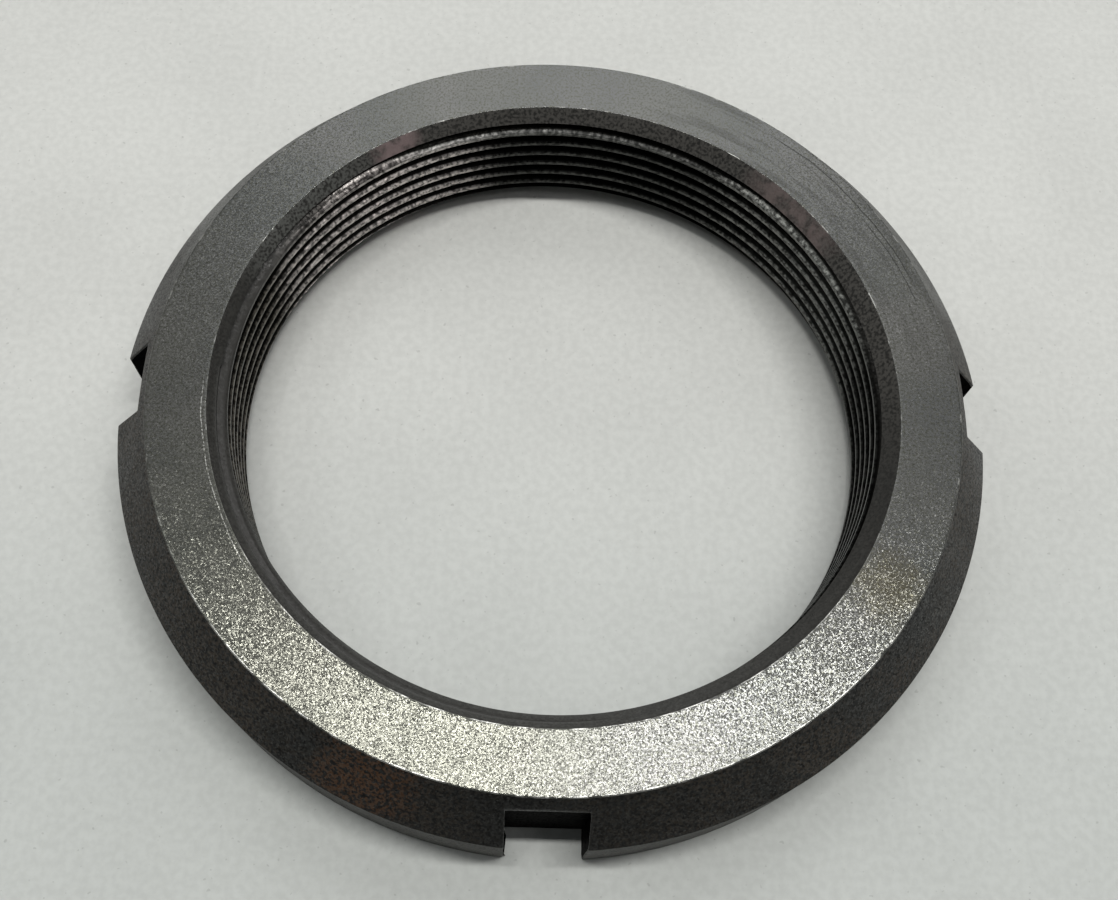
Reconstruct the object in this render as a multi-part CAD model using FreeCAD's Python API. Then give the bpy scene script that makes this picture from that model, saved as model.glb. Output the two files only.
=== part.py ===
import FreeCAD, Part
import math
import os

# Round slotted lock nut for a shaft: one turned ring of steel with a fine internal
# thread, a wide cone turned off its front rim and four slots for a hook spanner.
# Millimetres. The origin is at the middle of the flat rear face, +Z is the axis and
# points out of the front face, and the slots lie on the X and Y axes.

# Driving dimensions
THREAD_D = 80.0         # nominal thread diameter, M80 x 2, right hand
PITCH = 2.0
OUTER_D = 105.5
THICKNESS = 16.5
FACE_D = 96.0           # outer edge of the flat front face
CONE_HEIGHT = 5.9       # of the cone between the front face and the outer diameter
MOUTH_D = 81.8          # bore chamfer where it meets the front face, and the rear face
MOUTH_DEPTH = 2.36      # from either face to the thread's crests
SLOT_COUNT = 4
SLOT_WIDTH = 9.0
SLOT_DEPTH = 3.6        # from the outer diameter to the slot's flat floor
EDGE_BREAK = 0.4        # on the rear rim

# Metric 60 degree thread form
FLANK_ANGLE = math.radians(30.0)    # between a flank and the plane across the axis
MINOR_R = THREAD_D / 2 - 5 / 8 * PITCH * math.cos(FLANK_ANGLE)
ROOT_FLAT = PITCH / 8               # width of the groove's floor
OVERCUT = 0.3                       # how far the groove's cutter stands into the bore
SLOT_OVERCUT = 1.0                  # how far a slot's cutter stands out of the nut


def outline():
    """Half section of the plain ring, as a closed wire in the XZ plane."""
    outer_r = OUTER_D / 2
    mouth_r = MOUTH_D / 2
    corners = [
        (MINOR_R, MOUTH_DEPTH),
        (mouth_r, 0),
        (outer_r - EDGE_BREAK, 0),
        (outer_r, EDGE_BREAK),
        (outer_r, THICKNESS - CONE_HEIGHT),
        (FACE_D / 2, THICKNESS),
        (mouth_r, THICKNESS),
        (MINOR_R, THICKNESS - MOUTH_DEPTH),
    ]
    points = [FreeCAD.Vector(r, 0, z) for r, z in corners]
    return Part.makePolygon(points + points[:1])


def turned_ring():
    """The ring as it leaves the lathe, bored to the thread's minor diameter."""
    face = Part.Face(outline())
    return face.revolve(FreeCAD.Vector(0, 0, 0), FreeCAD.Vector(0, 0, 1), 360)


def groove_turn(start_z):
    """One turn of the thread's groove, which starts at +X at the height start_z."""
    helix = Part.makeHelix(PITCH, PITCH, THREAD_D / 2)
    inner_r = MINOR_R - OVERCUT
    root_r = THREAD_D / 2
    root_half = ROOT_FLAT / 2
    mouth_half = root_half + (root_r - inner_r) * math.tan(FLANK_ANGLE)
    corners = [
        (inner_r, -mouth_half),
        (root_r, -root_half),
        (root_r, root_half),
        (inner_r, mouth_half),
    ]
    points = [FreeCAD.Vector(r, 0, z) for r, z in corners]
    section = Part.makePolygon(points + points[:1])
    sweep = Part.BRepOffsetAPI.MakePipeShell(helix)
    sweep.setFrenetMode(True)
    sweep.add(section)
    sweep.build()
    sweep.makeSolid()
    turn = sweep.shape()
    turn.translate(FreeCAD.Vector(0, 0, start_z))
    return turn


def threaded_ring():
    """The turned ring with its thread, whose groove crosses the rear face at +X."""
    ring = turned_ring()
    turns = math.ceil(THICKNESS / PITCH) + 1
    for turn in range(-1, turns):
        ring = ring.cut(groove_turn(turn * PITCH))
    return ring


def spanner_slot(index):
    """One rectangular slot through the rim, with a flat floor and parallel walls."""
    floor_r = OUTER_D / 2 - SLOT_DEPTH
    slot = Part.makeBox(
        SLOT_DEPTH + SLOT_OVERCUT,
        SLOT_WIDTH,
        THICKNESS + 2 * SLOT_OVERCUT,
        FreeCAD.Vector(floor_r, -SLOT_WIDTH / 2, -SLOT_OVERCUT),
    )
    slot.rotate(FreeCAD.Vector(0, 0, 0), FreeCAD.Vector(0, 0, 1), 360 / SLOT_COUNT * index)
    return slot


def lock_nut():
    """The whole nut: turned, threaded and slotted."""
    return threaded_ring().cut([spanner_slot(index) for index in range(SLOT_COUNT)])


os.makedirs("parts", exist_ok=True)
nut = lock_nut().Solids[0]
nut.exportStep("parts/lock_nut.step")
box = nut.optimalBoundingBox()
print("lock_nut valid", nut.isValid(), "solids", len(nut.Solids), "faces", len(nut.Faces))
print("size", round(box.XLength, 3), round(box.YLength, 3), round(box.ZLength, 3))
print("volume mm3", round(nut.Volume, 1))
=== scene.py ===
import math
import random
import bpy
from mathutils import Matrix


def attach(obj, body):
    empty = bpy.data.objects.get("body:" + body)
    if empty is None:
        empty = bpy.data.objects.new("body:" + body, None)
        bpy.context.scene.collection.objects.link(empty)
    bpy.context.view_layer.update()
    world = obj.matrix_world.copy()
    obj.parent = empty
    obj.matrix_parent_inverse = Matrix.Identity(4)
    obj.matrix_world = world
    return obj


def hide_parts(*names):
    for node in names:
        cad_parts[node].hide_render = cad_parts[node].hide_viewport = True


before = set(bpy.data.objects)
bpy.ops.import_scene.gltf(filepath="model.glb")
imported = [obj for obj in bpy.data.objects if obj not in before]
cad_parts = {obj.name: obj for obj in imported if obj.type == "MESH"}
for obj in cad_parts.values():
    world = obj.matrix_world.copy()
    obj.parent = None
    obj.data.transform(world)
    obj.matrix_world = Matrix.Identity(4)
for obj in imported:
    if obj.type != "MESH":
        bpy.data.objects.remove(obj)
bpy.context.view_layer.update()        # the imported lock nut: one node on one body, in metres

from types import SimpleNamespace

import bpy
import numpy as np
from mathutils import Matrix, Vector

# The nut is rebuilt as one closed mesh of rings and columns. A column is a radial
# section through the ring at one angle, and a ring joins the same point of every
# section. The thread's rings follow its helix, and the columns beside a slot run
# parallel to its walls. Sizes are millimetres here, and metres in the mesh.

MM = 0.001
NEAR = 0.001            # sizes no further apart than this are the same

# Slots, one at each quarter turn from +X
SLOT_COUNT = 4
SLOT_TURN = math.tau / SLOT_COUNT

# Thread
PITCH = 2.0
FLANK_ANGLE = math.radians(30.0)
ROOT_FLAT = PITCH / 8   # width of the groove's floor
CREST_ROUND = 0.09      # radius of the rounding on the crests

# Edges: the radius of their rounding, and what lies beside them
MOUTH_EDGE = 0.10       # between a mouth of the bore and its face
FACE_EDGE = 0.14        # between the front face and the cone
RIM_EDGE = 0.16         # between the cone and the rim
REAR_EDGE = 0.08        # on the rear rim's edge break
SLOT_EDGE = 0.20        # round the slots' mouths
EDGE_LAND = 0.30        # a ring this far inside each edge of the front face keeps it flat
EDGE_CATCH = 0.08       # how far onto the cone the face's bare steel reaches
MOUTH_DEPTH = 2.36      # from either face to the thread's crests
RUN_OUT = 0.03          # how far the thread zone's ends stand outside the groove

# Mesh: the columns outside a slot and on its floor, by their distance from its wall,
# those on the wall, by their height from the floor at 0 to the rim at 1, and the rings
# beside the slot, by their distance inward from its floor
LAND_STEPS = (0.03, 0.08, 0.14, SLOT_EDGE, 0.45, 0.9, 1.4, 2.0, 2.7, 3.5)
FLOOR_STEPS = (0.15, 0.5, 1.0, 1.6, 2.3, 3.0, 3.75)
WALL_SHARES = (1.0, 0.94, 0.5, 0.0)
RIM_STEPS = (0.6, SLOT_EDGE, 0.12, 0.05)
COLUMN_STEP = math.radians(0.6)         # between columns away from the slots
EDGE_TRIALS = 6000      # heights tried in a column to find the thread's run-out edges
HIDDEN = 1e-6           # a thread point this far inside a mouth's cone is hidden by it
SNAP = 0.04             # thread rings this near the thread zone's ends join them
WELD = 1e-4             # points in one cell of this size are joined
CELL_SHIFT = 0.37       # of a cell, so that no cell's wall passes through zero
SHARP_ANGLE = math.radians(42.0)

# Wear
SEED = 7
EDGE_WAVE = 0.02        # unevenness of the slots' edges
LEAST_BURR = 0.25       # smallest share of a burr's reach
NICK_CHANCE = 0.10      # share of the columns with a nick in an edge of the face
NICK_DEPTH = 0.05
NICK_REACH = 0.22       # how far a nick spreads from the edge
LEAST_NICK = 0.3        # smallest share of a nick's depth
BURRS = (
    # slot, side of the slot, lowest and highest point, how far it stands into the slot
    (3, -1, -0.5, 1.7, 0.34),
    (3, 1, 9.4, 11.0, 0.10),
    (2, -1, 8.6, 11.0, 0.16),
    (0, 1, 8.8, 11.2, 0.22),
)


def measured(cad):
    """The nut's driving sizes in millimetres, read from its CAD node."""
    points = np.array([vertex.co for vertex in cad.data.vertices]) / MM
    radius = np.hypot(points[:, 0], points[:, 1])
    height = points[:, 2]
    top = height.max()
    rim_r = radius.max()
    on_rim = radius > rim_r - NEAR
    on_face = height > top - NEAR
    on_rear = height < NEAR
    face_r = radius[on_face].max()
    across = np.abs(points[:, :2]).min(axis=1)
    along = np.abs(points[:, :2]).max(axis=1)
    slot_half = across[on_rim].min()
    on_wall = (np.abs(across - slot_half) < NEAR) & (along > face_r)
    mouth_r = radius[on_face].min()
    in_thread = (radius < mouth_r) & (height > top / 4) & (height < top * 3 / 4)
    return SimpleNamespace(
        top=top,
        rim_r=rim_r,
        face_r=face_r,
        mouth_r=mouth_r,
        rear_mouth_r=radius[on_rear].min(),
        minor_r=radius.min(),
        root_r=radius[in_thread].max(),
        cone_foot=height[on_rim].max(),
        edge_break=height[on_rim].min(),
        slot_half=slot_half,
        floor_r=along[on_wall].min(),
    )


# ---------------------------------------------------------------- the section

SURFACES = ("thread", "mouth", "face", "cone", "rim", "slot", "rear")


def rounded(corners):
    """A polyline's points with an arc at each inner corner, and each strip's surface.

    corners lists (r, z, radius, arc_points, run_points, surface): run_points are the
    points put between this corner and the next, and surface is what lies after it.
    """
    spots = [np.array(corner[:2], float) for corner in corners]
    pieces = []
    for index, (_, _, radius, arc_points, _, _) in enumerate(corners):
        here = spots[index]
        if radius == 0:
            pieces.append([here])
            continue
        before = spots[index - 1] - here
        after = spots[index + 1] - here
        before /= np.linalg.norm(before)
        after /= np.linalg.norm(after)
        opening = math.acos(float(np.clip(before @ after, -1, 1)))
        bisector = before + after
        bisector /= np.linalg.norm(bisector)
        centre = here + bisector * radius / math.sin(opening / 2)
        sweep = math.pi - opening
        side = np.array([-bisector[1], bisector[0]])
        if side @ before > 0:
            side = -side
        turns = np.linspace(-sweep / 2, sweep / 2, arc_points)
        pieces.append([
            centre - radius * (bisector * math.cos(turn) - side * math.sin(turn))
            for turn in turns
        ])
    points = []
    kinds = []
    for index, piece in enumerate(pieces):
        run_points = corners[index][4]
        surface = SURFACES.index(corners[index][5])
        points.extend(piece)
        kinds.extend([surface] * len(piece))
        if index + 1 < len(pieces):
            start = piece[-1]
            end = pieces[index + 1][0]
            shares = np.linspace(0, 1, run_points + 2)[1:-1]
            points.extend(start + (end - start) * share for share in shares)
            kinds.extend([surface] * run_points)
    return np.array(points), kinds


def edge_drop(distance):
    """How far a slot's rounded edge lies below the surface, at a distance from the slot."""
    left = max(0.0, SLOT_EDGE - distance)
    return SLOT_EDGE - math.sqrt(SLOT_EDGE ** 2 - left ** 2)


class Section:
    """The outline of the nut's half section, in (radius, height)."""

    def __init__(self, nut):
        self.nut = nut
        self.fall = (nut.top - nut.cone_foot) / (nut.rim_r - nut.face_r)
        self.per_normal = math.hypot(1, self.fall)
        self.slope = (nut.mouth_r - nut.minor_r) / MOUTH_DEPTH
        self.low = (nut.rear_mouth_r - nut.root_r - RUN_OUT) / self.slope
        self.high = nut.top - (nut.mouth_r - nut.root_r - RUN_OUT) / self.slope

    def cone_z(self, radius, inset=0.0):
        """Height of the cone, sunk by inset along its normal."""
        return self.nut.top - (radius - self.nut.face_r) * self.fall - inset * self.per_normal

    def front_mouth_r(self, z):
        """Radius of the front mouth's cone at a height."""
        return self.nut.mouth_r - (self.nut.top - z) * self.slope

    def rear_mouth_r(self, z):
        """Radius of the rear mouth's cone at a height."""
        return self.nut.rear_mouth_r - z * self.slope

    def front(self, start_r, off_slot):
        """From the top of the thread zone over the face to the cone beside the slot floor."""
        nut = self.nut
        last = start_r - RIM_STEPS[0]
        points, kinds = rounded([
            (self.front_mouth_r(self.high), self.high, 0, 0, 2, "mouth"),
            (nut.mouth_r, nut.top, MOUTH_EDGE, 4, 0, "face"),
            (nut.mouth_r + EDGE_LAND, nut.top, 0, 0, 5, "face"),
            (nut.face_r - EDGE_LAND, nut.top, 0, 0, 0, "face"),
            (nut.face_r, nut.top, FACE_EDGE, 4, 0, "face"),
            (nut.face_r + EDGE_CATCH, self.cone_z(nut.face_r + EDGE_CATCH), 0, 0, 1, "cone"),
            (last, self.cone_z(last), 0, 0, 0, "cone"),
        ])
        rest = []
        for step in RIM_STEPS[1:]:
            inset = edge_drop(math.hypot(step, off_slot))
            rest.append((start_r - step, self.cone_z(start_r - step, inset)))
        return np.vstack([points[1:], rest]), kinds[1:] + [SURFACES.index("cone")] * len(rest)

    def rim(self, start_r, inset):
        """From the cone beside the slot floor round the rim to the rear face."""
        nut = self.nut
        rim_r = nut.rim_r - inset
        shoulder = self.cone_z(rim_r, inset)
        broken = nut.edge_break
        return rounded([
            (start_r, self.cone_z(start_r, inset), 0, 0, 4, "cone"),
            (rim_r, shoulder, RIM_EDGE, 4, 5, "rim"),
            (rim_r, broken + inset, REAR_EDGE, 3, 1, "rim"),
            (rim_r - broken, inset, REAR_EDGE, 3, 2, "rear"),
            (start_r, inset, 0, 0, 0, "rear"),
        ])

    def rear(self, start_r, off_slot):
        """From beside the slot floor over the rear face to the bottom of the thread zone."""
        nut = self.nut
        rest = []
        for step in reversed(RIM_STEPS[1:]):
            rest.append((start_r - step, edge_drop(math.hypot(step, off_slot))))
        points, kinds = rounded([
            (start_r - RIM_STEPS[0], 0, 0, 0, 6, "rear"),
            (nut.rear_mouth_r, 0, MOUTH_EDGE, 4, 1, "mouth"),
            (self.rear_mouth_r(self.low), self.low, 0, 0, 0, "mouth"),
        ])
        return np.vstack([rest, points[:-1]]), [SURFACES.index("rear")] * len(rest) + kinds[:-1]


# ---------------------------------------------------------------- the thread

class Thread:
    """The internal thread: its form over one pitch, and its rings."""

    def __init__(self, nut, section):
        self.section = section
        root_half = ROOT_FLAT / 2
        depth = nut.root_r - nut.minor_r
        crest_start = root_half + depth * math.tan(FLANK_ANGLE)
        tangent = CREST_ROUND * math.tan(FLANK_ANGLE)
        sink = CREST_ROUND / math.cos(FLANK_ANGLE) - CREST_ROUND
        half = [
            (root_half, nut.root_r),
            ((root_half + crest_start) / 2, nut.root_r - depth / 2),
            (crest_start - tangent / 2, nut.minor_r + tangent * math.cos(FLANK_ANGLE)),
            (crest_start + sink / 2, nut.minor_r + sink * math.cos(FLANK_ANGLE)),
            (crest_start + tangent, nut.minor_r),
        ]
        other = [(PITCH - offset, radius) for offset, radius in reversed(half)]
        form = np.array(half + other)
        self.offsets = form[:, 0]
        self.radii = form[:, 1]

    def groove_r(self, angle, z):
        """Radius of the endless thread at an angle and a height."""
        offset = (z - PITCH * angle / math.tau) % PITCH
        return np.interp(offset, self.offsets, self.radii, period=PITCH)

    def cone_r(self, z):
        """Radius of the mouths' cones at a height, where they cut the thread off."""
        return np.maximum(self.section.front_mouth_r(z), self.section.rear_mouth_r(z))

    def heights(self, angle, bases):
        """Heights of the thread's rings in one column, with one ring on each run-out edge."""
        low = self.section.low
        high = self.section.high
        z = bases + PITCH * angle / math.tau
        z = np.where(z < low + SNAP, low, z)
        z = np.where(z > high - SNAP, high, z)
        fine = np.linspace(low, high, EDGE_TRIALS)
        gap = self.groove_r(angle, fine) - self.cone_r(fine)
        for spot in np.nonzero(gap[:-1] * gap[1:] < 0)[0]:
            share = gap[spot] / (gap[spot] - gap[spot + 1])
            edge = fine[spot] + share * (fine[spot + 1] - fine[spot])
            hidden = self.groove_r(angle, z) < self.cone_r(z) - HIDDEN
            free = np.nonzero(hidden & (z > low) & (z < high))[0]
            if len(free):
                nearest = free[np.argmin(np.abs(z[free] - edge))]
                if abs(z[nearest] - edge) < PITCH / 4:
                    z[nearest] = edge
        return z

    def rings(self, angles):
        """(radii, heights, on_cone) of all rings, one row a ring and one column an angle."""
        low = self.section.low
        high = self.section.high
        first = math.floor(low / PITCH) - 1
        last = math.ceil(high / PITCH)
        bases = np.concatenate([turn * PITCH + self.offsets for turn in range(first, last + 1)])
        below = np.nonzero(bases + PITCH * angles[-1] / math.tau <= low)[0][-1]
        above = np.nonzero(bases + PITCH * angles[0] / math.tau >= high)[0][0]
        bases = bases[below:above + 1]
        z = np.stack([self.heights(angle, bases) for angle in angles], axis=1)
        groove = self.groove_r(np.asarray(angles)[None, :], z)
        cone = self.cone_r(z)
        return np.maximum(groove, cone), z, cone > groove - 2 * NEAR


# ---------------------------------------------------------------- the columns

def slot_columns(nut):
    """(angle, distance outside the wall, wall share) of the columns round one slot.

    The share is 0 on the slot's floor, 1 outside the slot, and between them on a wall.
    """
    half = nut.slot_half
    zone = math.atan2(half + LAND_STEPS[-1], nut.floor_r)
    count = round((SLOT_TURN / 2 - zone) / COLUMN_STEP)
    plain = np.linspace(zone, SLOT_TURN / 2, count + 1)[1:]
    side = [(math.atan2(half - step, nut.floor_r), 0.0, 0.0) for step in reversed(FLOOR_STEPS)]
    side += [(math.atan2(half, nut.floor_r), 0.0, share) for share in reversed(WALL_SHARES)]
    side += [(math.atan2(half + step, nut.floor_r), step, 1.0) for step in LAND_STEPS]
    side += [(angle, LAND_STEPS[-1], 1.0) for angle in plain]
    mirrored = [(-angle, step, share) for angle, step, share in reversed(side[:-1])]
    return mirrored + [(0.0, 0.0, 0.0)] + side


def floor_line(nut, across, rim):
    """The slot floor's points, one for each point of the rim's outline."""
    lengths = np.concatenate([[0], np.cumsum(np.linalg.norm(np.diff(rim, axis=0), axis=1))])
    z = np.interp(lengths / lengths[-1], [0, 1], [rim[0, 1], rim[-1, 1]])
    return np.column_stack([
        np.full(len(rim), nut.floor_r), np.full(len(rim), across), z,
    ])


def land_line(across, turn, spread, rim):
    """The rim's outline, parallel to the slot's wall beside it and radial away from it."""
    start_r = rim[0, 0]
    y = across + spread * (rim[:, 0] - start_r) * math.sin(turn)
    x = np.sqrt(rim[:, 0] ** 2 - y ** 2)
    return np.column_stack([x, y, rim[:, 1]])


def burr_reach(slot, side, z, draw):
    """How far a slot's edge stands into the slot at a height."""
    reach = draw.uniform(-EDGE_WAVE, EDGE_WAVE)
    for burr_slot, burr_side, low, high, most in BURRS:
        if (slot, side) == (burr_slot, burr_side) and low < z < high:
            reach += most * draw.uniform(LEAST_BURR, 1.0)
    return reach


def column_points(nut, section, turn, off_slot, share):
    """(points, kinds, rim's start, rim's end) of a column, for a slot at +X.

    The points go from the thread zone's top over the face, rim and rear to its bottom.
    """
    zone = math.atan2(nut.slot_half + LAND_STEPS[-1], nut.floor_r)
    start_r = nut.floor_r / math.cos(min(abs(turn), zone))
    front, front_kinds = section.front(start_r, off_slot)
    rear, rear_kinds = section.rear(start_r, off_slot)
    rim, rim_kinds = section.rim(start_r, edge_drop(off_slot))
    across = start_r * math.sin(turn)
    eased = min(off_slot / LAND_STEPS[-1], 1.0)
    spread = eased * eased * (3 - 2 * eased)
    floor = floor_line(nut, across, rim)
    land = land_line(across, turn, spread, rim) if share else floor
    outer = floor + (land - floor) * share
    flat = [
        np.column_stack([part[:, 0] * math.cos(turn), part[:, 0] * math.sin(turn), part[:, 1]])
        for part in (front, rear)
    ]
    points = np.vstack([flat[0], outer, flat[1]])
    return points, front_kinds + rim_kinds + rear_kinds, len(front), len(front) + len(rim)


# ---------------------------------------------------------------- the mesh

def nick_edges(nut, columns):
    """Dents the edges of the front face, here and there in the columns that are given."""
    draw = random.Random(SEED)
    for edge_r in (nut.face_r, nut.mouth_r):
        for points in columns:
            if draw.random() > NICK_CHANCE:
                continue
            depth = NICK_DEPTH * draw.uniform(LEAST_NICK, 1.0)
            radius = np.hypot(points[:, 0], points[:, 1])
            from_edge = np.hypot(radius - edge_r, points[:, 2] - nut.top)
            dent = depth * np.clip(1 - from_edge / NICK_REACH, 0, 1)
            toward_middle = 1 if edge_r == nut.mouth_r else -1
            points[:, :2] *= (1 + toward_middle * dent / radius)[:, None]
            points[:, 2] -= dent


def outside_points(nut, section, columns):
    """(points of each column, kinds, start, end) of all that lies outside the thread zone.

    kinds are the surfaces along a column and start and end are its rim's first and last
    place. They are the same in every column.
    """
    draw = random.Random(SEED)
    outside = []
    for slot, turn, off_slot, share in columns:
        points, kinds, start, end = column_points(nut, section, turn, off_slot, share)
        if share == 1 and off_slot == 0:
            side = int(math.copysign(1, turn))
            for point in points[start + 1:end - 1]:
                point[1] -= side * burr_reach(slot, side, point[2], draw)
        angle = slot * SLOT_TURN
        spin = np.array([
            [math.cos(angle), math.sin(angle), 0],
            [-math.sin(angle), math.cos(angle), 0],
            [0, 0, 1],
        ])
        outside.append(points @ spin)
    off_slots = [off_slot for _, _, off_slot, _ in columns]
    nick_edges(nut, [points for points, off_slot in zip(outside, off_slots) if off_slot > 0])
    return outside, kinds, start, end


def strip_surfaces(columns, on_cone, kinds, start, end):
    """The surface of each strip between two rings, for each pair of columns."""
    cut_off = on_cone[:-1, :-1] & on_cone[1:, :-1] & on_cone[:-1, 1:] & on_cone[1:, 1:]
    in_bore = np.where(cut_off, SURFACES.index("mouth"), SURFACES.index("thread"))
    joint = np.full((1, in_bore.shape[1]), SURFACES.index("mouth"))
    around = np.repeat(np.array(kinds)[:, None], in_bore.shape[1], axis=1)
    shares = np.array([share for _, _, _, share in columns])
    in_slot = (shares[:-1] < 1) | (shares[1:] < 1)
    around[start:end - 1, in_slot] = SURFACES.index("slot")
    return np.concatenate([in_bore, joint, around])


def nut_grid(nut):
    """(points[ring, column, xyz], surface[ring strip, column]) of the whole nut."""
    section = Section(nut)
    quarter = slot_columns(nut)
    columns = []
    for slot in range(SLOT_COUNT):
        columns += [(slot, *column) for column in quarter[:-1]]
    outside, kinds, start, end = outside_points(nut, section, columns)
    columns.append((SLOT_COUNT, *quarter[0]))
    outside.append(outside[0])
    angles = [slot * SLOT_TURN + turn for slot, turn, _, _ in columns]
    radii, heights, on_cone = Thread(nut, section).rings(angles)
    bore = np.stack([radii * np.cos(angles), radii * np.sin(angles), heights], axis=2)
    grid = np.concatenate([bore, np.stack(outside, axis=1)])
    return grid, strip_surfaces(columns, on_cone, kinds, start, end)


def welded(grid, surface):
    """(vertices, faces, face surfaces) of the closed grid, with coincident points joined."""
    rings, columns = grid.shape[:2]
    flat = grid.reshape(-1, 3)
    keys = np.floor(flat / WELD + CELL_SHIFT).astype(np.int64)
    _, first, ids = np.unique(keys, axis=0, return_index=True, return_inverse=True)
    ids = ids.reshape(rings, columns)
    after = np.roll(ids, -1, axis=0)
    quads = np.stack([ids[:, :-1], after[:, :-1], after[:, 1:], ids[:, 1:]], axis=2)
    faces = []
    kinds = []
    for corners, kind in zip(quads.reshape(-1, 4).tolist(), surface.reshape(-1).tolist()):
        loop = [c for c, before in zip(corners, corners[-1:] + corners[:-1]) if c != before]
        if len(set(loop)) == len(loop) > 2:
            faces.append(loop)
            kinds.append(kind)
    return flat[first], faces, kinds


def nut_object(nut):
    """The finished nut, with a material index on each face."""
    grid, surface = nut_grid(nut)
    vertices, faces, kinds = welded(grid, surface)
    mesh = bpy.data.meshes.new("lock_nut_finished")
    mesh.from_pydata((vertices * MM).tolist(), [], faces)
    mesh.polygons.foreach_set("material_index", kinds)
    mesh.polygons.foreach_set("use_smooth", [True] * len(faces))
    mesh.set_sharp_from_angle(angle=SHARP_ANGLE)
    mesh.update()
    mesh.validate()
    piece = bpy.data.objects.new("lock_nut_finished", mesh)
    bpy.context.scene.collection.objects.link(piece)
    normals = piece.modifiers.new("even_shading", "WEIGHTED_NORMAL")
    normals.keep_sharp = True
    return piece


# ---------------------------------------------------------------- materials

MARK_R = 40.0           # turning marks have their stated length at this radius
FEATURE_CELLS = 0.5     # cells of noise that make one feature


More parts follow.
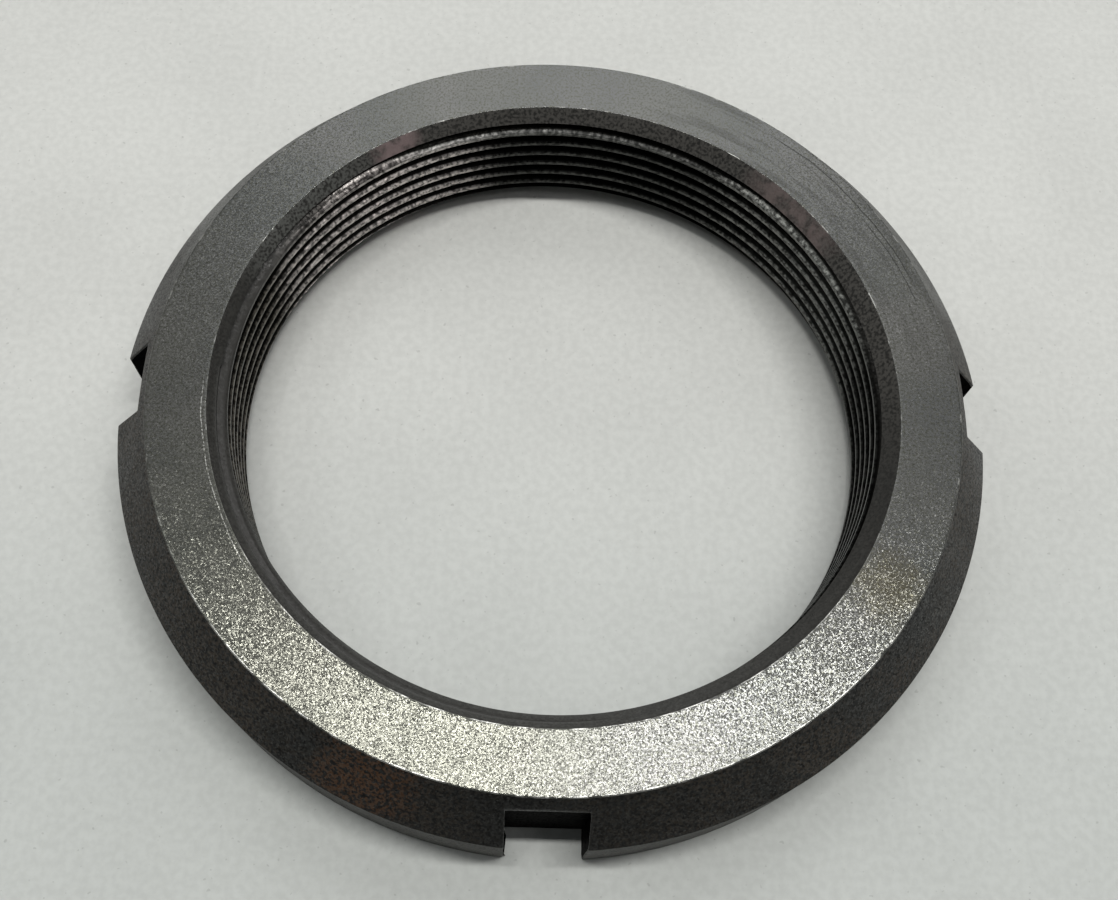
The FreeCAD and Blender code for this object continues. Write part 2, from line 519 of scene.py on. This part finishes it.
class Surface:
    """One material, with short calls that add its nodes. Places are millimetres."""

    def __init__(self, name):
        self.material = bpy.data.materials.new(name)
        self.material.use_nodes = True
        self.nodes = self.material.node_tree.nodes
        self.shader = self.nodes["Principled BSDF"]
        metres = self.node("TexCoord", {}, "Object")
        self.place = self.node("VectorMath", {0: metres, 3: 1 / MM}, operation="SCALE")
        across = self.node("VectorMath", {0: self.place, 1: (1, 1, 0)}, operation="MULTIPLY")
        self.radius = self.node("VectorMath", {0: across}, "Value", operation="LENGTH")
        self.outward = self.node("VectorMath", {0: across}, operation="NORMALIZE")
        self.height = self.node("SeparateXYZ", {0: self.place}, 2)

    def node(self, kind, inputs, output=0, **settings):
        """Adds a node with values or links on its inputs, and gives one of its outputs."""
        node = self.nodes.new("ShaderNode" + kind)
        for name, value in settings.items():
            setattr(node, name, value)
        for key, value in inputs.items():
            self.put(value, node.inputs[key])
        return node.outputs[output]

    def put(self, value, socket):
        """Links a socket to another one, or sets its value."""
        if isinstance(value, bpy.types.NodeSocket):
            self.material.node_tree.links.new(value, socket)
        else:
            socket.default_value = value

    def finish(self, **inputs):
        """Sets the shader's inputs, whose names have underscores for spaces here."""
        for name, value in inputs.items():
            self.put(value, self.shader.inputs[name.replace("_", " ")])
        return self.material

    def math(self, operation, first, second=0.0):
        """What a math node makes of one or two values."""
        return self.node("Math", {0: first, 1: second}, operation=operation)

    def ramp(self, value, start, end, low=0.0, high=1.0):
        """low up to start, high from end on, and a smooth change between them."""
        inputs = {"Value": value, "From Min": start, "From Max": end, "To Min": low, "To Max": high}
        return self.node("MapRange", inputs, interpolation_type="SMOOTHSTEP")

    def mix(self, share, first, second):
        """A colour between two, each a socket or (r, g, b)."""
        colours = [
            colour if isinstance(colour, bpy.types.NodeSocket) else (*colour, 1)
            for colour in (first, second)
        ]
        return self.node("Mix", {0: share, 6: colours[0], 7: colours[1]}, 2, data_type="RGBA")

    def noise(self, size, detail=2.0, where=None, output="Fac"):
        """Noise with features of about size."""
        inputs = {"Vector": where or self.place, "Scale": FEATURE_CELLS / size, "Detail": detail}
        return self.node("TexNoise", inputs, output)

    def turned(self, along, across, over=None):
        """A place for noise that is drawn out along the turning direction.

        The marks are about along long and across wide, and lie side by side over the
        radius or another socket.
        """
        around = self.node("VectorMath", {0: self.outward, 3: MARK_R / along}, operation="SCALE")
        steps = self.times(over or self.radius, 1 / across)
        lifted = self.node("CombineXYZ", {2: steps})
        return self.node("VectorMath", {0: around, 1: lifted}, operation="ADD")

    def toward(self, azimuth, core, fade):
        """1 within core degrees of an azimuth, and 0 beyond fade degrees."""
        turn = math.radians(azimuth)
        heading = (math.cos(turn), math.sin(turn), 0)
        facing = self.node(
            "VectorMath", {0: self.outward, 1: heading}, "Value", operation="DOT_PRODUCT",
        )
        return self.ramp(facing, math.cos(math.radians(fade)), math.cos(math.radians(core)))

    def spot(self, azimuth, radius, height, core, fade):
        """1 within core of a place, and 0 beyond fade, with an uneven outline."""
        turn = math.radians(azimuth)
        middle = (radius * math.cos(turn), radius * math.sin(turn), height)
        apart = self.node("VectorMath", {0: self.place, 1: middle}, "Value", operation="DISTANCE")
        uneven = self.times(self.noise(fade / 5, 4.0), fade)
        return self.ramp(self.math("ADD", apart, uneven), core + fade / 2, fade * 3 / 2, 1.0, 0.0)

    def ring(self, radius, core, fade):
        """1 within core of a circle round the axis, and 0 beyond fade, a little uneven."""
        uneven = self.ramp(self.noise(3.0, 4.0), 0.2, 0.8, -fade * 2, fade * 2)
        apart = self.math("SUBTRACT", self.math("ADD", self.radius, uneven), radius)
        return self.ramp(self.math("ABSOLUTE", apart), core, fade, 1.0, 0.0)

    def times(self, first, second):
        return self.math("MULTIPLY", first, second)

    def most(self, first, second):
        return self.math("MAXIMUM", first, second)

    def grains(self, size, tilt, outward=0.0):
        """A normal whose grains of metal lean up to tilt each way, and outward on average."""
        bend = self.noise(size * 0.8, 1.0, output="Color")
        wander = self.node(
            "VectorMath", {0: bend, 1: (size,) * 3, 2: self.place}, operation="MULTIPLY_ADD",
        )
        grain = self.node("TexVoronoi", {"Vector": wander, "Scale": 1 / size}, "Color")
        lean = self.node(
            "VectorMath", {0: grain, 1: (2 * tilt,) * 3, 2: (-tilt,) * 3},
            operation="MULTIPLY_ADD",
        )
        plain = self.node("NewGeometry", {}, "Normal")
        bent = self.node("VectorMath", {0: plain, 1: lean}, operation="ADD")
        if outward:
            bent = self.node(
                "VectorMath", {0: self.outward, 1: (outward,) * 3, 2: bent},
                operation="MULTIPLY_ADD",
            )
        return self.node("VectorMath", {0: bent}, operation="NORMALIZE")


def face_steel(nut):
    """Ground satin steel, with clouds, dark pits, scratches, a stain and worn edges."""
    face = Surface("face_steel")
    dark = (0.050, 0.053, 0.052)
    pale = (0.080, 0.080, 0.075)
    pit = (0.050, 0.051, 0.044)
    soot = (0.010, 0.010, 0.009)
    yellow = (0.075, 0.060, 0.020)
    bare = (0.50, 0.50, 0.48)

    clouds = face.noise(9.0, 5.0)
    pits = face.ramp(face.noise(0.15, 2.0), 0.36, 0.54)
    streaks = face.noise(1.0, 3.0, face.turned(5.0, 0.35))
    colour = face.mix(face.ramp(clouds, 0.35, 0.65), dark, pale)
    colour = face.mix(pits, pit, colour)
    sheen = face.mix(face.ramp(face.noise(5.0, 4.0), 0.4, 0.6), (0.86, 0.88, 0.86), (1.0, 1.0, 1.0))
    sheen = face.mix(face.toward(-125, 20, 50), sheen, (1.0, 1.0, 0.84))
    sheen = face.mix(pits, (0.66, 0.67, 0.58), sheen)

    smudged = face.times(face.toward(38, 18, 42), face.ramp(streaks, 0.48, 0.60))
    long_scratch = face.times(face.toward(36, 14, 19), face.ring(nut.face_r - 1.25, 0.05, 0.10))
    short_scratch = face.times(face.toward(24, 6, 10), face.ring(nut.face_r - 2.0, 0.04, 0.08))
    scratched = face.most(long_scratch, short_scratch)
    dirt = face.most(face.times(smudged, 0.35), scratched)
    colour = face.mix(face.times(dirt, 0.8), colour, soot)
    sheen = face.mix(face.times(dirt, 0.8), sheen, (0.25, 0.25, 0.24))
    stain = face.spot(-33, 44.5, nut.top, 1.0, 6.0)
    colour = face.mix(face.times(stain, 0.5), colour, yellow)

    line = face.times(face.toward(199, 13, 20), face.ring(nut.mouth_r + 0.5, 0.02, 0.07))
    outer = face.ramp(face.radius, nut.face_r - 0.18, nut.face_r - 0.08)
    inner = face.ramp(face.radius, nut.mouth_r + 0.03, nut.mouth_r + 0.16, 1.0, 0.0)
    chips = face.noise(1.0, 3.0)
    often = face.times(face.toward(-90, 42, 66), face.ramp(chips, 0.42, 0.60))
    rare = face.times(face.ramp(chips, 0.56, 0.68), 0.6)
    edge = face.times(face.most(outer, inner), face.most(often, rare))
    worn = face.most(face.times(line, face.ramp(pits, 0.3, 1.0, 0.1, 1.0)), edge)
    colour = face.mix(worn, colour, bare)
    metal = face.ramp(edge, 0.0, 1.0, 0.3, 1.0)
    rough = face.ramp(clouds, 0.3, 0.7, 0.20, 0.225)
    rough = face.math("ADD", rough, face.times(dirt, 0.12))
    rough = face.math("ADD", rough, face.times(edge, 0.18))
    return face.finish(
        Base_Color=colour, Metallic=metal, IOR=1.9, Roughness=rough, Specular_Tint=sheen,
        Normal=face.grains(0.12, 0.086, 0.02),
    )


def cone_steel(nut):
    """Dark oiled black oxide over a turned cone, with brown patches and rust."""
    cone = Surface("cone_steel")
    black = (0.004, 0.004, 0.0036)
    oily = (0.010, 0.0085, 0.0065)
    brown = (0.034, 0.026, 0.019)
    rusty = (0.060, 0.027, 0.011)
    speck = (0.002, 0.002, 0.002)

    grain = cone.noise(0.2, 2.0)
    clouds = cone.noise(5.0, 5.0)
    colour = cone.mix(cone.ramp(clouds, 0.35, 0.65), black, oily)
    sides = cone.most(cone.toward(-146, 22, 55), cone.toward(-32, 25, 60))
    patches = cone.times(sides, cone.ramp(clouds, 0.3, 0.55))
    colour = cone.mix(cone.times(patches, 0.7), colour, brown)
    rust = cone.spot(-113, 50.5, nut.top - 3.0, 2.0, 8.0)
    colour = cone.mix(cone.times(rust, 0.85), colour, rusty)
    colour = cone.mix(cone.ramp(grain, 0.40, 0.60), speck, colour)
    rough = cone.ramp(clouds, 0.3, 0.7, 0.32, 0.44)
    return cone.finish(
        Base_Color=colour, Metallic=0.0, IOR=1.33, Roughness=rough,
        Normal=cone.grains(0.2, 0.15),
    )


def rim_steel(_nut):
    """The outer diameter: the same dark finish, worn lighter by handling."""
    rim = Surface("rim_steel")
    dark = (0.024, 0.024, 0.022)
    handled = (0.088, 0.086, 0.079)

    clouds = rim.ramp(rim.noise(4.0, 5.0), 0.3, 0.7, 0.5, 1.0)
    scuffs = rim.ramp(rim.noise(0.35, 3.0), 0.35, 0.65, 0.35, 1.0)
    colour = rim.mix(rim.times(clouds, scuffs), dark, handled)
    return rim.finish(
        Base_Color=colour, Metallic=0.3, IOR=1.14, Roughness=0.5, Normal=rim.grains(0.2, 0.16),
    )


def slot_steel(_nut):
    """Milled slot walls and floors under black oxide."""
    slot = Surface("slot_steel")
    black = (0.0015, 0.0015, 0.0015)
    milled = (0.006, 0.0058, 0.0055)

    marks = slot.noise(0.25, 2.0, slot.turned(0.5, 6.0, slot.height))
    colour = slot.mix(slot.ramp(marks, 0.35, 0.65), black, milled)
    return slot.finish(
        Base_Color=colour, Metallic=0.0, IOR=1.02, Roughness=0.42,
        Normal=slot.grains(0.25, 0.10),
    )


def mouth_steel(_nut):
    """The bore's turned chamfers: dark, with fine turning marks and reddish tarnish, and painted
    highlights on the left and right.
    """
    mouth = Surface("mouth_steel")
    dark = (0.030, 0.0295, 0.0275)
    pale = (0.040, 0.039, 0.036)
    back_pale = (0.070, 0.067, 0.062)
    left_painted_highlight = (0.090, 0.092, 0.087)
    speck = (0.022, 0.0215, 0.020)
    red_tarnish_and_highlight = (0.22, 0.165, 0.165)
    faint_red_tarnish_and_highlight = (0.165, 0.130, 0.125)

    rings = mouth.noise(1.0, 3.0, mouth.turned(9.0, 0.20))
    specks = mouth.noise(0.18, 2.0)
    colour = mouth.mix(mouth.ramp(rings, 0.3, 0.7), dark, pale)
    colour = mouth.mix(mouth.toward(70, 55, 90), colour, back_pale)
    # painted highlight: a pale band on the left, where light glints on the chamfer
    colour = mouth.mix(mouth.toward(143, 6, 20), colour, left_painted_highlight)
    colour = mouth.mix(mouth.ramp(specks, 0.36, 0.60), speck, colour)
    mottle = mouth.ramp(mouth.noise(0.7, 3.0), 0.35, 0.60, 0.3, 1.0)
    # reddish tarnish with a painted highlight in it, on the left and on the right
    tarnish_and_highlight = mouth.times(mouth.toward(121.5, 1, 6), mottle)
    colour = mouth.mix(mouth.times(tarnish_and_highlight, 0.8), colour, red_tarnish_and_highlight)
    tarnish_and_highlight = mouth.times(mouth.toward(41, 3, 13), mottle)
    colour = mouth.mix(mouth.times(tarnish_and_highlight, 0.7), colour, faint_red_tarnish_and_highlight)
    return mouth.finish(
        Base_Color=colour, Metallic=0.0, IOR=1.4, Roughness=0.4, Normal=mouth.grains(0.2, 0.08),
    )


def thread_steel(nut):
    """The thread: rubbed bright on its crests, with painted light where light falls on them, and
    black with oil and painted shade in its roots.
    """
    thread = Surface("thread_steel")
    # black oil in the roots, which also stands for painted shade in the grooves
    oily = (0.005, 0.005, 0.0045)
    beads = thread.noise(0.33, 3.0, thread.turned(0.8, 0.6, thread.height))
    first = thread.ramp(thread.height, nut.top - 3.3, nut.top - 2.2)
    # left, right and back mark where light glints on the crests, for painted highlights and a
    # painted reflection
    left = thread.toward(130, 14, 30)
    right = thread.toward(34, 12, 30)
    back = thread.times(thread.toward(86, 26, 40), first)
    open_turn = thread.times(thread.toward(176, 42, 68), first)

    # How far down the flanks the crests are bright, and how evenly: painted light reaches further
    # down the first turn, where light falls into the groove, and painted shade darkens the roots
    # below
    reach = thread.times(open_turn, 0.78)
    reach = thread.most(reach, thread.times(left, 0.05))
    reach = thread.most(reach, thread.times(back, 0.22))
    reach = thread.most(reach, thread.times(thread.times(right, first), 0.62))
    depth = thread.math("SUBTRACT", thread.radius, reach)
    rubbed_and_painted_light = thread.ramp(depth, nut.minor_r + 0.01, nut.minor_r + 0.31, 1.0, 0.0)
    ridges = thread.noise(0.6, 2.0, thread.turned(8.0, 0.20, thread.height))
    ridges = thread.ramp(ridges, 0.40, 0.58, 0.15, 1.0)
    rubbed_and_painted_light = thread.mix(open_turn, rubbed_and_painted_light, thread.times(rubbed_and_painted_light, ridges))
    hollow = thread.ramp(back, 0.0, 1.0, 0.2, 0.6)
    rubbed_and_painted_light = thread.times(rubbed_and_painted_light, thread.ramp(beads, 0.38, 0.60, hollow, 1.0))

    # The crests' colour, which changes round the bore and on the first turn: painted highlights
    # where light glints on them at the left and right, a painted reflection at the back, and a
    # brown and a pink tint
    crest_and_highlight = thread.mix(thread.toward(174, 20, 36), (0.070, 0.071, 0.067), (0.20, 0.185, 0.16))
    crest_and_highlight = thread.mix(left, crest_and_highlight, (0.70, 0.65, 0.63))
    crest_and_highlight = thread.mix(right, crest_and_highlight, (0.20, 0.202, 0.19))
    crest_and_highlight = thread.mix(thread.times(right, first), crest_and_highlight, (0.55, 0.55, 0.52))
    crest_and_highlight = thread.mix(back, crest_and_highlight, (0.46, 0.46, 0.445))
    crest_and_highlight = thread.mix(thread.times(open_turn, 0.6), crest_and_highlight, (0.11, 0.108, 0.10))
    # painted light on the crests, and painted shade in the roots under them
    colour = thread.mix(rubbed_and_painted_light, oily, crest_and_highlight)

    # The first turn is dull, except at the back
    dull = thread.times(thread.toward(-98, 105, 126), first)
    duller = thread.mix(thread.toward(5, 25, 60), (0.036, 0.035, 0.033), (0.075, 0.071, 0.066))
    colour = thread.mix(dull, colour, duller)
    metal = thread.ramp(dull, 0.0, 1.0, 1.0, 0.0)
    rough = thread.ramp(beads, 0.3, 0.7, 0.28, 0.38)
    return thread.finish(
        Base_Color=colour, Metallic=metal, Roughness=rough, Normal=thread.grains(0.25, 0.07),
    )


def rear_steel(_nut):
    """The rear face: turned, with rings of fine marks and a dull grey finish."""
    rear = Surface("rear_steel")
    dark = (0.15, 0.15, 0.145)
    pale = (0.27, 0.268, 0.26)
    oily = (0.09, 0.082, 0.07)

    rings = rear.noise(1.0, 3.0, rear.turned(30.0, 0.14))
    clouds = rear.noise(7.0, 4.0)
    colour = rear.mix(rear.ramp(rings, 0.3, 0.7), dark, pale)
    colour = rear.mix(rear.ramp(clouds, 0.55, 0.75), colour, oily)
    rough = rear.ramp(clouds, 0.3, 0.7, 0.30, 0.42)
    return rear.finish(
        Base_Color=colour, Metallic=1.0, Roughness=rough, Normal=rear.grains(0.35, 0.08),
    )


def paper_white():
    """Matt grey-white paper, with faint clouds, fibres and specks, and painted shade, a little
    cooler, towards the front.
    """
    paper = Surface("paper")
    near_painted_shade = (0.515, 0.535, 0.520)
    far = (0.585, 0.593, 0.575)

    clouds = paper.noise(14.0, 4.0)
    fibres = paper.noise(0.5, 4.0)
    specks = paper.ramp(paper.noise(0.35, 1.0), 0.24, 0.29)
    ahead = paper.node("SeparateXYZ", {0: paper.place}, 1)
    # painted shade: the paper is darker and a little cooler towards the front
    colour = paper.mix(paper.ramp(ahead, -45.0, 25.0), near_painted_shade, far)
    tone = paper.ramp(clouds, 0.3, 0.7, 0.97, 1.03)
    tone = paper.times(tone, paper.ramp(fibres, 0.3, 0.7, 0.955, 1.045))
    tone = paper.times(tone, paper.ramp(specks, 0.0, 1.0, 0.82, 1.0))
    colour = paper.node("VectorMath", {0: colour, 3: tone}, operation="SCALE")
    return paper.finish(Base_Color=colour, Roughness=0.85)


# Each surface's material, made for the nut's sizes
MAKERS = {
    "thread": thread_steel, "mouth": mouth_steel, "face": face_steel, "cone": cone_steel,
    "rim": rim_steel, "slot": slot_steel, "rear": rear_steel,
}


# ---------------------------------------------------------------- floor, lights, camera

# Lengths are metres from here on, but the camera's lens and sensor are millimetres.
FLOOR_HALF = 3.0


def floor_sheet():
    """A wide sheet of paper under the nut."""
    corners = ((-1, -1), (1, -1), (1, 1), (-1, 1))
    mesh = bpy.data.meshes.new("paper")
    mesh.from_pydata([(x * FLOOR_HALF, y * FLOOR_HALF, 0) for x, y in corners], [], [(0, 1, 2, 3)])
    mesh.materials.append(paper_white())
    paper = bpy.data.objects.new("paper", mesh)
    bpy.context.scene.collection.objects.link(paper)


# The main lamp is a long strip overhead, from left to right. Softer round panels stand
# round the nut.
STRIP_PLACE = (0.13, 0.075, 1.3)
STRIP_SIZE = (1.06, 0.05)
STRIP_POWER = 12.7
STRIP_COLOUR = (1.0, 0.99, 0.96)
PANELS = (
    # name, azimuth, tilt from overhead, distance, diameter, power, colour
    ("back", 86, 46, 1.1, 0.70, 1.7, (1.0, 1.0, 1.0)),
    ("back_wide", 80, 46, 1.15, 1.30, 2.7, (1.0, 1.0, 1.0)),
    ("front", -90, 42, 1.2, 0.90, 0.05, (1.0, 1.0, 1.0)),
    ("right", -22, 30, 1.05, 0.30, 0.5, (1.0, 0.97, 0.96)),
    ("left", 174, 34.5, 0.97, 0.30, 0.7, (0.97, 1.0, 0.98)),
)
AMBIENT = (0.085, 0.0875, 0.0865)


def light_object(name, shape, power, colour):
    """An area light at the origin."""
    light = bpy.data.lights.new(name, "AREA")
    light.shape = shape
    light.energy = power
    light.color = colour
    lamp = bpy.data.objects.new(name, light)
    bpy.context.scene.collection.objects.link(lamp)
    return lamp


def strip_light():
    """The ceiling strip, facing down."""
    strip = light_object("strip", "RECTANGLE", STRIP_POWER, STRIP_COLOUR)
    strip.data.size, strip.data.size_y = STRIP_SIZE
    strip.location = STRIP_PLACE


def panel_light(name, azimuth, tilt, distance, size, power, colour):
    """A round panel that faces the origin."""
    turn = math.radians(azimuth)
    lean = math.radians(tilt)
    panel = light_object(name, "DISK", power, colour)
    panel.data.size = size
    heading = Vector((
        math.sin(lean) * math.cos(turn), math.sin(lean) * math.sin(turn), math.cos(lean),
    ))
    panel.location = heading * distance
    panel.rotation_euler = heading.to_track_quat("Z", "Y").to_euler()


def ambient_light():
    """Low even light from all round."""
    world = bpy.data.worlds.new("studio")
    world.use_nodes = True
    world.node_tree.nodes["Background"].inputs["Color"].default_value = (*AMBIENT, 1)
    bpy.context.scene.world = world


# The camera looks down on the nut from its front side. Its place is given from the
# middle of the front face, and its aim is a point in that face's plane.
CAMERA_DISTANCE = 0.1386
CAMERA_AZIMUTH = math.radians(-94.93)
CAMERA_ELEVATION = math.radians(61.94)
CAMERA_AIM = (-0.0045, -0.0146)
CAMERA_ROLL = math.radians(2.94)
CAMERA_LENS = 37.52
CAMERA_SENSOR = 36
CAMERA_SHIFT = (0.0405, 0.0409)
CAMERA_CLIP = 0.005


def main_camera(nut):
    """The scene's camera."""
    top = nut.top * MM
    camera = bpy.data.cameras.new("camera")
    camera.sensor_width = CAMERA_SENSOR
    camera.lens = CAMERA_LENS
    camera.shift_x, camera.shift_y = CAMERA_SHIFT
    camera.clip_start = CAMERA_CLIP
    holder = bpy.data.objects.new("camera", camera)
    place = Vector((
        CAMERA_DISTANCE * math.cos(CAMERA_ELEVATION) * math.cos(CAMERA_AZIMUTH),
        CAMERA_DISTANCE * math.cos(CAMERA_ELEVATION) * math.sin(CAMERA_AZIMUTH),
        top + CAMERA_DISTANCE * math.sin(CAMERA_ELEVATION),
    ))
    aim = Vector((*CAMERA_AIM, top))
    turn = (aim - place).to_track_quat("-Z", "Y").to_matrix().to_4x4()
    holder.matrix_world = Matrix.Translation(place) @ turn @ Matrix.Rotation(CAMERA_ROLL, 4, "Z")
    bpy.context.scene.collection.objects.link(holder)
    bpy.context.scene.camera = holder


nut = measured(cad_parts["lock_nut"])
piece = nut_object(nut)
for name in SURFACES:
    piece.data.materials.append(MAKERS[name](nut))
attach(piece, "root")
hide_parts("lock_nut")

floor_sheet()
ambient_light()
strip_light()
for panel in PANELS:
    panel_light(*panel)
main_camera(nut)
bpy.context.scene.view_settings.view_transform = "Standard"
